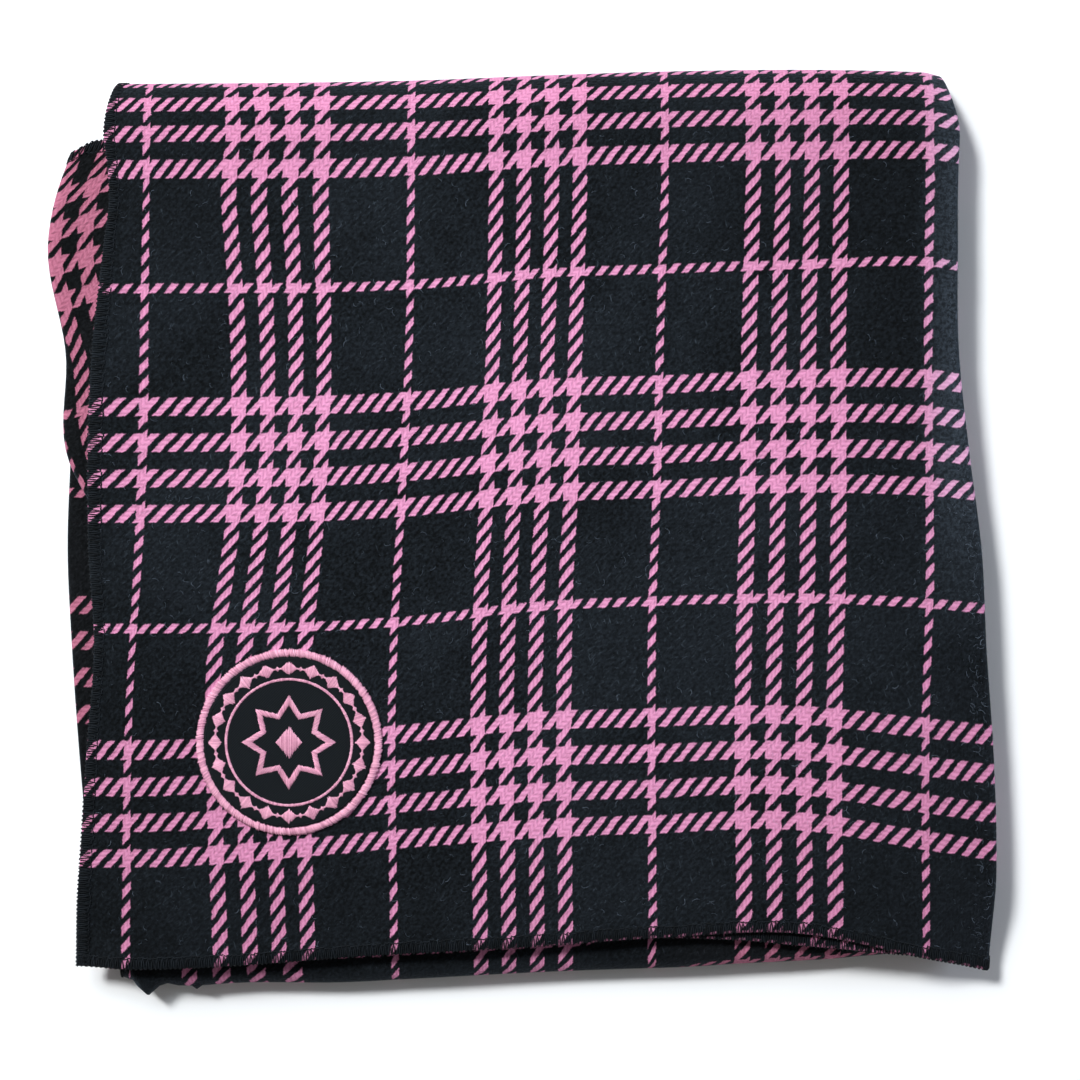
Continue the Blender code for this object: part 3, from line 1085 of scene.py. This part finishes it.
@dataclass
class Overlock:
    """Overlocking on a stretch of a cut edge: loops that go round the edge, with a needle line inside it."""

    name: str
    cloth: FoldedCloth
    edge: Edge
    start: float
    end: float
    depth: float
    pitch: float = 2.05 * MM
    radius: float = 0.25 * MM
    half_cloth: float = 1.1 * MM

    def _stitch(self) -> Stitch:
        """One loop over the edge and the needle stitch that holds it."""
        p, d, over = self.pitch, self.depth, self.half_cloth + 0.7 * self.radius
        loop = (
            (0.00 * p, 0.5 * d, -over),
            (0.06 * p, 0.1 * d, -over),
            (0.10 * p, -0.35 * MM, -0.5 * over),
            (0.12 * p, -0.35 * MM, 0.6 * over),
            (0.18 * p, 0.08 * d, over),
            (0.30 * p, 0.55 * d, 1.04 * over),
            (0.50 * p, 0.98 * d, 0.98 * over),
            (0.68 * p, 0.60 * d, 1.10 * over),
            (0.82 * p, 0.08 * d, 1.06 * over),
            (0.90 * p, -0.40 * MM, 0.5 * over),
            (0.94 * p, -0.35 * MM, -0.6 * over),
            (1.00 * p, 0.4 * d, -over),
        )
        needle = (
            (0.52 * p, 0.97 * d, 0.8 * over),
            (1.00 * p, 0.92 * d, 1.2 * over),
            (1.48 * p, 0.97 * d, 0.8 * over),
        )
        return Stitch((loop, needle), self.radius)

    def build(self, material: bpy.types.Material, seed: int) -> bpy.types.Object:
        """Sew the row and lay it along the edge.

        Args:
            material: The thread's finish.
            seed: The seed of the small unevenness of hand-guided sewing.

        Returns:
            The row of stitches.
        """
        count = round((self.end - self.start) / self.pitch)
        piece, number = self._stitch().row(self.name, count, self.pitch)
        uneven = np.random.default_rng(seed).normal(0.0, 1.0, (count, 3))
        along, inward, lift = points_of(piece).T
        along = self.start + along * (self.end - self.start) / ((count + 0.5) * self.pitch)
        along = along + 0.10 * MM * uneven[number, 0]
        inward = np.where(inward > 0, inward * (1 + 0.06 * uneven[number, 1]), inward)
        lift = lift + 0.05 * MM * uneven[number, 2] * np.sign(lift)
        cloth = self.cloth
        places = {
            Edge.SIDE: (inward, along),
            Edge.TUCKED: (cloth.width - inward, along),
            Edge.FRONT_HEM: (along, inward),
            Edge.INNER_HEM: (along, cloth.length - inward),
        }
        points = cloth.face(*places[self.edge], lift)
        points[:, 2] = np.maximum(points[:, 2], 0.0)
        set_points(piece, points)
        wear(piece, material)
        return piece


@dataclass
class LooseNap:
    """Loose fibres raised from the brushed face of the front leaf, and caught on it."""

    cloth: FoldedCloth
    count: int = 3200
    length: float = 2.6 * MM
    radius: float = 0.03 * MM
    lift: float = 1.12 * MM
    at_fold: float = 0.18

    def build(self, material: bpy.types.Material, seed: int) -> bpy.types.Object:
        """Scatter the fibres over the face, thicker along its folds.

        Args:
            material: The fibres' finish.
            seed: The seed of their places.

        Returns:
            The fibres.
        """
        cloth, half = self.cloth, self.length / 2
        bends = ((-1, -0.1, 0), (-0.4, 0.2, 0.2), (0.4, 0.25, 0.3), (1, -0.2, 0.1))
        bow = tuple((run * half, aside * half, up * half) for run, aside, up in bends)
        piece, number = Stitch((bow,), self.radius).row("loose_nap", self.count, 0.0)
        chance = np.random.default_rng(seed)
        flat_width = cloth.section.distance[1]
        across = chance.random(self.count) * (flat_width + 5 * MM)
        near_fold = chance.random(self.count) < self.at_fold
        across = np.where(near_fold, flat_width + (chance.random(self.count) * 12 - 6) * MM, across)
        along = 2 * MM + chance.random(self.count) * (cloth.leaves.distance[1] - 6 * MM)
        turn = (chance.random(self.count) * 2 * math.pi)[number]
        size = (0.35 + chance.random(self.count) ** 2 * 0.9)[number]
        run, aside, up = points_of(piece).T * size
        cosine, sine = np.cos(turn), np.sin(turn)
        across = across[number] + run * cosine - aside * sine
        along = along[number] + run * sine + aside * cosine
        set_points(piece, cloth.face(across, along, self.lift + up))
        wear(piece, material)
        return piece


class Shape(Enum):
    """The outlines worked on the patch."""

    CIRCLE = "an even circle"
    CHAIN = "a circle that swells into large and small diamonds"
    STAR = "an eight-pointed star"
    DIAMOND = "a filled diamond"


@dataclass
class SatinBand:
    """A raised band of satin stitches between two outlines on the patch."""

    name: str
    shape: Shape
    inner: tuple[float, float]
    outer: tuple[float, float]
    base: float
    height: float
    thread: float
    diamonds: int = 20
    ragged: float = 0.08
    slant: float = 0.0

    def _edges(self, share: np.ndarray) -> tuple[np.ndarray, np.ndarray]:
        """The band's inner and outer edges, as places about the patch's centre.

        Args:
            share: How far round the band.

        Returns:
            The two edges.
        """
        turn = 2 * math.pi * share + math.pi / 2
        if self.shape is Shape.STAR:
            corners = np.arange(17)
            bearing = math.pi / 2 + corners * math.pi / 8
            directions = np.stack([np.cos(bearing), np.sin(bearing)], axis=1)
            edges = []
            for tip, notch in (self.inner, self.outer):
                outline = np.where(corners % 2 == 0, tip, notch)[:, None] * directions
                ways = [np.interp(share * 16, corners, column) for column in outline.T]
                edges.append(np.stack(ways, axis=1))
            return edges[0], edges[1]
        if self.shape is Shape.DIAMOND:
            x = (2 * share - 1) * self.outer[0]
            y = self.outer[0] - np.abs(x)
            return np.stack([x, -y], axis=1), np.stack([x, y], axis=1)
        around = np.stack([np.cos(turn), np.sin(turn)], axis=1)
        if self.shape is Shape.CIRCLE:
            return around * self.inner[0], around * self.outer[0]
        middle = (self.inner[0] + self.outer[0]) / 2
        travel = 2 * math.pi * middle / self.diamonds
        from_large = np.abs((share * self.diamonds + 0.5) % 1.0 - 0.5) * travel
        from_small = travel / 2 - from_large
        large = self.outer[1] * (1 - from_large / (1.38 * self.outer[1]))
        small = self.inner[1] * (1 - from_small / self.inner[1])
        half = np.maximum(np.maximum(large, small), 0.35 * MM)
        return around * (middle - half)[:, None], around * (middle + half)[:, None]

    def _length(self) -> float:
        """How long the band is round its outer edge."""
        if self.shape is Shape.DIAMOND:
            return 2 * self.outer[0]
        if self.shape is Shape.CHAIN:
            return math.pi * (self.inner[0] + self.outer[0])
        rim = self._edges(np.linspace(0.0, 1.0, 400))[1]
        return float(np.linalg.norm(np.diff(rim, axis=0), axis=1).sum())

    def _place(self, share: np.ndarray, over: np.ndarray, lift: np.ndarray) -> np.ndarray:
        """Carry a straight band's points on to the patch, with over from -1 to 1 between the edges."""
        inner, outer = self._edges(np.clip(share, 0.0, 1.0))
        mixed = inner * ((1 - over) / 2)[:, None] + outer * ((1 + over) / 2)[:, None]
        return np.column_stack([mixed, self.base + lift])

    def build(self, material: bpy.types.Material, seed: int) -> bpy.types.Object:
        """Work the padding and the stitches over it.

        Args:
            material: The thread's finish.
            seed: The seed of the stitches' unevenness.

        Returns:
            The band, flat, about the patch's centre.
        """
        length = self._length()
        count = round(length / (1.7 * self.thread))
        top = self.height - self.thread
        arch = ((-1, 0), (-0.84, 0.8), (-0.35, 1), (0.35, 1), (0.84, 0.8), (1, 0))
        path = tuple((0.0, over * MM, lift * top) for over, lift in arch)
        piece, number = Stitch((path,), self.thread).row(self.name, count, length / count)
        uneven = np.random.default_rng(seed).normal(0.0, 1.0, (count, 3))
        run, over, lift = points_of(piece).T
        over = over / MM
        share = (run + (0.3 * uneven[number, 0] + self.slant * over) * self.thread) / length
        over = over * (1 + self.ragged * uneven[number, 1]) + 0.5 * self.ragged * uneven[number, 2]
        set_points(piece, self._place(share, over, np.maximum(lift, -0.2 * MM)))

        deselect()
        bpy.ops.mesh.primitive_grid_add(x_subdivisions=max(24, count // 2), y_subdivisions=6, size=2.0)
        padding = named(self.name + "_padding")
        run, over, _ = points_of(padding).T
        dome = np.sqrt(np.clip(1 - over**2, 0, 1)) * (top + 0.3 * self.thread)
        set_points(padding, self._place((run + 1) / 2, over * 0.97, dome - 0.1 * MM))
        piece.select_set(True)
        bpy.context.view_layer.objects.active = piece
        bpy.ops.object.join()
        wear(piece, material)
        return piece


@dataclass
class Patch:
    """The round embroidered patch, sewn on near the front leaf's lower left corner."""

    cloth: FoldedCloth
    centre: Vector
    radius: float
    ground_radius: float
    border_height: float
    ground_height: float
    ring_outer: float
    chain_outer: float
    star_tip: float
    diamond_tip: float
    sewing_radius: float
    ring_width: float = 1.1 * MM
    chain_radius: float = 34.0 * MM
    fine_thread: float = 0.20 * MM
    border_thread: float = 0.34 * MM
    sewing_pitch: float = 2.3 * MM
    sewing_thread: float = 0.2 * MM
    inset_rings: int = 12

    @classmethod
    def from_frame(cls, cloth: FoldedCloth) -> "Patch":
        """Read the patch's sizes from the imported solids.

        Args:
            cloth: The cloth that it is sewn to.

        Returns:
            The patch.
        """

        def reach(node: str) -> float:
            """Half the width of a node's box."""
            node_low, node_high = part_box(node)
            return (node_high.x - node_low.x) / 2

        low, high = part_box("patch_border")
        ground_low, ground_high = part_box("patch_ground")
        return cls(
            cloth,
            centre=(low + high) / 2,
            radius=reach("patch_border"),
            ground_radius=reach("patch_ground"),
            border_height=high.z - low.z,
            ground_height=ground_high.z - ground_low.z,
            ring_outer=reach("patch_ring"),
            chain_outer=reach("patch_diamond_chain"),
            star_tip=reach("patch_star"),
            diamond_tip=reach("patch_centre_diamond"),
            sewing_radius=reach("patch_sewing_line"),
        )

    def _seat(self, piece: bpy.types.Object) -> None:
        """Bring a flat piece to its place and let it follow the cloth under it."""
        points = points_of(piece) + np.array([self.centre.x, self.centre.y, 0.0])
        points[:, 2] += self.cloth.top_height(points[:, 0], points[:, 1], 2.2 * MM)
        set_points(piece, points)
        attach(piece, FRONT_BODY)

    def _ground(self, material: bpy.types.Material) -> bpy.types.Object:
        """Cut the twill disc: a circle inset ring by ring, then thickened."""
        deselect()
        radius = self.ground_radius + 0.9 * MM
        bpy.ops.mesh.primitive_circle_add(vertices=96, radius=radius, fill_type="NGON", location=(0, 0, 0))
        disc = named("patch_twill_disc")
        bpy.ops.object.mode_set(mode="EDIT")
        bpy.ops.mesh.select_all(action="SELECT")
        for _ in range(self.inset_rings):
            bpy.ops.mesh.inset(thickness=radius / (self.inset_rings + 1))
        bpy.ops.mesh.poke()
        bpy.ops.object.mode_set(mode="OBJECT")
        solid = disc.modifiers.new("thickness", "SOLIDIFY")
        solid.thickness = self.ground_height
        solid.offset = 1.0
        apply_all(disc)
        wear(disc, material)
        return disc

    def _sewing_line(self, material: bpy.types.Material) -> bpy.types.Object:
        """Run the lockstitches that hold the patch down."""
        count = round(2 * math.pi * self.sewing_radius / self.sewing_pitch)
        arch = ((0.1, -0.2), (0.2, 0.1), (0.5, 0.2), (0.8, 0.1), (0.9, -0.2))
        path = tuple((run * self.sewing_pitch, 0, lift * MM) for run, lift in arch)
        piece, _ = Stitch((path,), self.sewing_thread).row("patch_lockstitches", count, self.sewing_pitch)
        run, over, lift = points_of(piece).T
        turn = run / (count * self.sewing_pitch) * 2 * math.pi
        reach = self.sewing_radius - self.sewing_thread + over
        lift = lift + self.ground_height
        set_points(piece, np.column_stack([reach * np.cos(turn), reach * np.sin(turn), lift]))
        wear(piece, material)
        return piece

    def build(self, twill: bpy.types.Material, satin: bpy.types.Material, black: bpy.types.Material) -> None:
        """Make every piece of the patch and seat it on the cloth.

        Args:
            twill: The ground's finish.
            satin: The embroidery thread's finish.
            black: The sewing thread's finish.
        """
        ground, fine = self.ground_height, self.fine_thread
        ring_inner, chain_inner = self.ring_outer - self.ring_width, 2 * self.chain_radius - self.chain_outer
        star_inner = (self.star_tip - 4.3 * MM, self.star_tip - 10.1 * MM)
        star_outer = (self.star_tip, self.star_tip - 7.5 * MM)
        bands = {
            "patch_border": SatinBand(
                "patch_merrowed_border", Shape.CIRCLE, (self.ground_radius + 0.3 * MM, 0), (self.radius, 0),
                0.0, self.border_height, self.border_thread, ragged=0.09, slant=1.2,
            ),
            "patch_ring": SatinBand(
                "patch_satin_ring", Shape.CIRCLE, (ring_inner, 0), (self.ring_outer, 0),
                ground, 0.5 * MM, fine, ragged=0.12,
            ),
            "patch_diamond_chain": SatinBand(
                "patch_satin_chain", Shape.CHAIN, (chain_inner, 1.1 * MM),
                (self.chain_outer, self.chain_outer - self.chain_radius), ground, 0.55 * MM, fine,
            ),
            "patch_star": SatinBand(
                "patch_satin_star", Shape.STAR, star_inner, star_outer, ground, 0.6 * MM, fine
            ),
            "patch_centre_diamond": SatinBand(
                "patch_satin_diamond", Shape.DIAMOND, (0, 0), (self.diamond_tip, 0), ground, 0.6 * MM, fine
            ),
        }
        for seed, (node, band) in enumerate(bands.items()):
            self._finish(band.build(satin, 40 + seed), node)
        self._finish(self._ground(twill), "patch_ground")
        self._finish(self._sewing_line(black), "patch_sewing_line")

    def _finish(self, piece: bpy.types.Object, node: str) -> None:
        """Seat a piece, hide the solid that it stands for, and log it."""
        self._seat(piece)
        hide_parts(node)
        declare(piece)


# ---- The stage ----


@dataclass
class Studio:
    """A white floor, soft light from the upper left and a camera that looks straight down."""

    centre: Vector
    top: float
    view_width: float = 496.8 * MM
    lens: float = 70.0
    sensor: float = 36.0
    backdrop: Colour = (1.0, 0.985, 0.97)
    cove_from: float = 0.05
    cove_to: float = 0.42
    horizon_light: float = 0.85
    overhead_light: float = 0.15

    def build(self) -> None:
        """Set up the floor, the lights, the camera and the plain world."""
        deselect()
        bpy.ops.mesh.primitive_plane_add(size=60.0, location=(0, 0, 0))
        floor = named("studio_floor")
        graph = Graph("studio_white")
        graph.feed(graph.shader.inputs["Base Color"], (0.86, 0.86, 0.86))
        graph.feed(graph.shader.inputs["Roughness"], 0.95)
        graph.feed(graph.shader.inputs["Specular IOR Level"], 0.0)
        wear(floor, graph.material)

        bpy.ops.object.light_add(type="SUN", location=(-1.0, 1.0, 1.4))
        sun = bpy.context.active_object
        sun.name = "key_light"
        sun.data.energy = 3.2
        sun.data.angle = math.radians(11)
        sun.data.color = (0.97, 0.99, 1.0)
        sun.rotation_euler = Vector((1.0, -1.0, -1.38)).to_track_quat("-Z", "Y").to_euler()
        self._lamp("window_light", (-0.45, 0.50, 0.72), 0.5, 7.6, (0.86, 0.94, 1.0))
        self._lamp("side_light", (1.6, 0.25, 0.36), 0.6, 15.0, (0.72, 0.82, 1.0))

        bpy.ops.object.camera_add(location=(self.centre.x, self.centre.y, self.top + self._distance()))
        camera = bpy.context.active_object
        camera.name = "overhead_camera"
        camera.data.lens = self.lens
        camera.data.clip_end = 100.0
        bpy.context.scene.camera = camera

        scene = bpy.context.scene
        scene.world = bpy.data.worlds.new("studio_world")
        scene.world.use_nodes = True
        self._light_backdrop(scene.world.node_tree)
        scene.view_settings.view_transform = "Standard"

    def _light_backdrop(self, tree: bpy.types.NodeTree) -> None:
        """Give the world an even grey overhead that brightens towards the horizon, as a studio's cove does.

        Args:
            tree: The world's node tree.
        """
        backdrop = tree.nodes["Background"]
        backdrop.inputs["Color"].default_value = (*self.backdrop, 1.0)
        direction = tree.nodes.new("ShaderNodeTexCoord")
        parts = tree.nodes.new("ShaderNodeSeparateXYZ")
        cove = tree.nodes.new("ShaderNodeMapRange")
        cove.interpolation_type = "SMOOTHSTEP"
        cove_values = (self.cove_from, self.cove_to, self.horizon_light, self.overhead_light)
        for socket, value in enumerate(cove_values, start=1):
            cove.inputs[socket].default_value = value
        tree.links.new(direction.outputs["Generated"], parts.inputs[0])
        tree.links.new(parts.outputs["Z"], cove.inputs[0])
        tree.links.new(cove.outputs[0], backdrop.inputs["Strength"])

    def _distance(self) -> float:
        """How far above the stack the camera stands, for the width that it shows."""
        return self.view_width * self.lens / self.sensor

    def _lamp(
        self, name: str, place: tuple[float, float, float], size: float, power: float, colour: Colour
    ) -> None:
        """Add a square lamp that faces the middle of the stack.

        Args:
            name: The lamp's name.
            place: Where it stands.
            size: Its side.
            power: Its power in watts.
            colour: The colour of its light.
        """
        bpy.ops.object.light_add(type="AREA", location=place)
        lamp = bpy.context.active_object
        lamp.name = name
        lamp.data.shape = "SQUARE"
        lamp.data.size = size
        lamp.data.energy = power
        lamp.data.color = colour
        lamp.rotation_euler = (-Vector(place)).to_track_quat("-Z", "Y").to_euler()


# ---- Fastening and assembly ----


def fasten_front(piece: bpy.types.Object) -> None:
    """Bake the placement of a piece of the front leaf into its mesh; it is not attached to a body here.

    Args:
        piece: The piece.
    """
    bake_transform(piece)


def main() -> None:
    """Build the sheet's pieces in order and attach them to the bodies that they move with, except the front
    leaf's cloth and its side and tucked rows, which are only baked in place.
    """
    cloth = FoldedCloth.from_frame()
    width, turn, end = cloth.width, cloth.front_length, cloth.length
    LOG.info("flat cut %.3f by %.3f m", width, end)
    twill = [PLAID.material(side, width, end) for side in Side]
    black_thread = SpunThread(
        "overlock_thread", (0.0015, 0.002, 0.0025), (0.010, 0.0135, 0.018), 0.75, 0.16
    ).material()
    satin_thread = SpunThread("pink_satin_thread", (0.44, 0.155, 0.25), (0.93, 0.50, 0.64), 0.38).material()
    nap_fibre = SpunThread("nap_fibre", (0.05, 0.065, 0.09), (0.30, 0.36, 0.46), 0.8, 0.1).material()
    Studio(Vector((6.4 * MM, -6.0 * MM, 0)), cloth.pile).build()

    front = ClothPiece("sheet_front_cloth", cloth, 0.0, turn, 4.0 * MM).build(*twill)
    base = ClothPiece("sheet_base_cloth", cloth, turn, end, 6.0 * MM).build(*twill)
    fasten_front(front)
    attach(base, BASE_BODY)
    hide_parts("sheet_front_leaf", "sheet_top_fold")
    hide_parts("sheet_centre_leaf", "sheet_bottom_fold", "sheet_inner_leaf")
    for piece, length in ((front, turn), (base, end - turn)):
        declare(piece)

    side_low, side_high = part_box("side_overlock_front")
    front_places, base_places = ("front", "top_fold"), ("centre", "bottom_fold", "inner")
    rows = (
        ("front_side_overlock", Edge.SIDE, 0.0, turn, "side", front_places),
        ("front_tucked_overlock", Edge.TUCKED, 0.0, turn, "tucked", front_places),
        ("front_hem_overlock", Edge.FRONT_HEM, 0.0, width, "hem", ("front",)),
        ("inner_hem_overlock", Edge.INNER_HEM, 0.0, width, "hem", ("inner",)),
        ("base_side_overlock", Edge.SIDE, turn, end, "side", base_places),
        ("base_tucked_overlock", Edge.TUCKED, turn, end, "tucked", base_places),
    )
    for seed, (name, edge, first, last, run, places) in enumerate(rows):
        overlock = Overlock(name, cloth, edge, first, last, side_high.x - side_low.x)
        piece = overlock.build(black_thread, seed)
        if edge is Edge.FRONT_HEM:
            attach(piece, FRONT_BODY)
        elif places is front_places:
            fasten_front(piece)
        else:
            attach(piece, BASE_BODY)
        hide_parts(*(f"{run}_overlock_{place}" for place in places))
        declare(piece)
    nap = LooseNap(cloth).build(nap_fibre, 90)
    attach(nap, FRONT_BODY)
    declare(nap)
    Patch.from_frame(cloth).build(PatchTwill().material(), satin_thread, black_thread)


if __name__ == "__main__":
    logging.basicConfig(level=logging.INFO, format="%(name)s: %(message)s")
    main()
